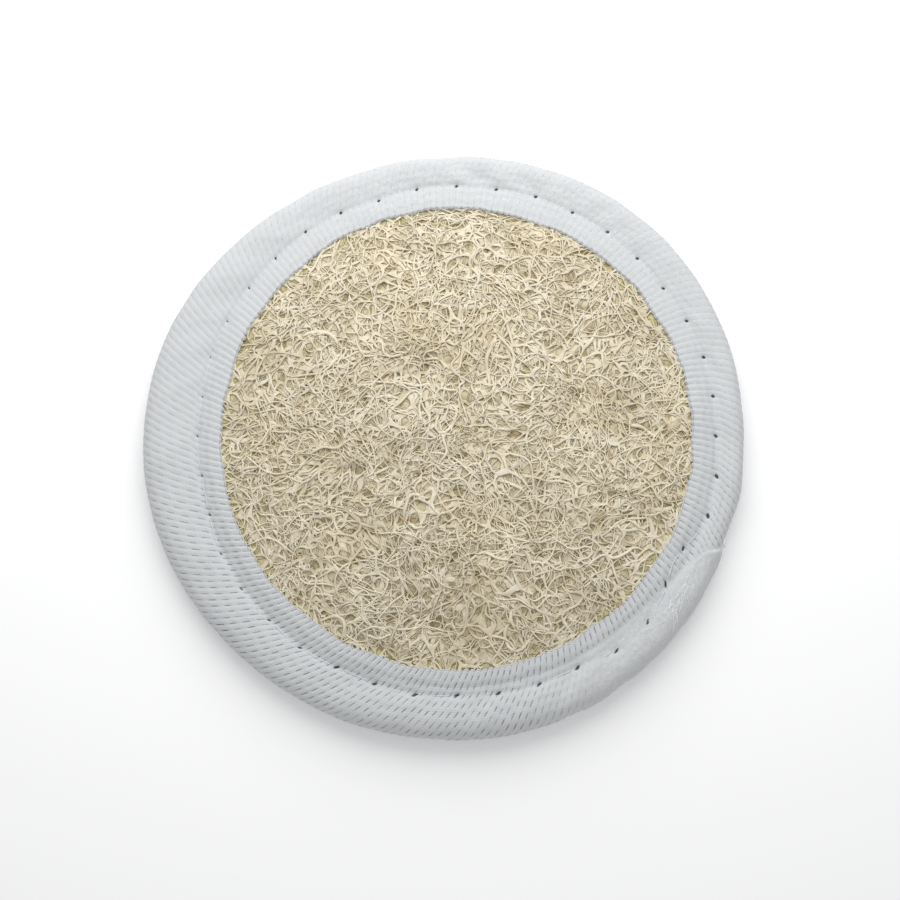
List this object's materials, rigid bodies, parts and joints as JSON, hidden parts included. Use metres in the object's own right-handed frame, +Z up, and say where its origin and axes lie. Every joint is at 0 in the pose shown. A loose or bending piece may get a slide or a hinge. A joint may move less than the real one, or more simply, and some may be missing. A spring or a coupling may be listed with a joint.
{
  "type": "round natural loofah scrub pad",
  "caption": "Round scrub pad: a domed disc of natural loofah fibre on terry cloth, bound at the edge with folded cotton tape and one line of stitching.",
  "frame": {"origin": "on the resting surface, under the middle of the pad's outline", "axes": "+Z up out of the loofah face, +Y towards the side that the picture shows at the top"},
  "size_m": [0.08, 0.079, 0.0096],
  "materials": {
    "loofah": "matt dry plant fibre, brighter on its top strands and khaki in its gaps",
    "terry": "matt looped cotton pile",
    "tape": "matt ribbed cotton",
    "thread": "smooth spun thread"
  },
  "bodies": {
    "root": {"loofah_disc": "loofah", "terry_backing": "terry", "binding_tape": "tape", "sewing_thread": "thread"}
  },
  "joints": []
}
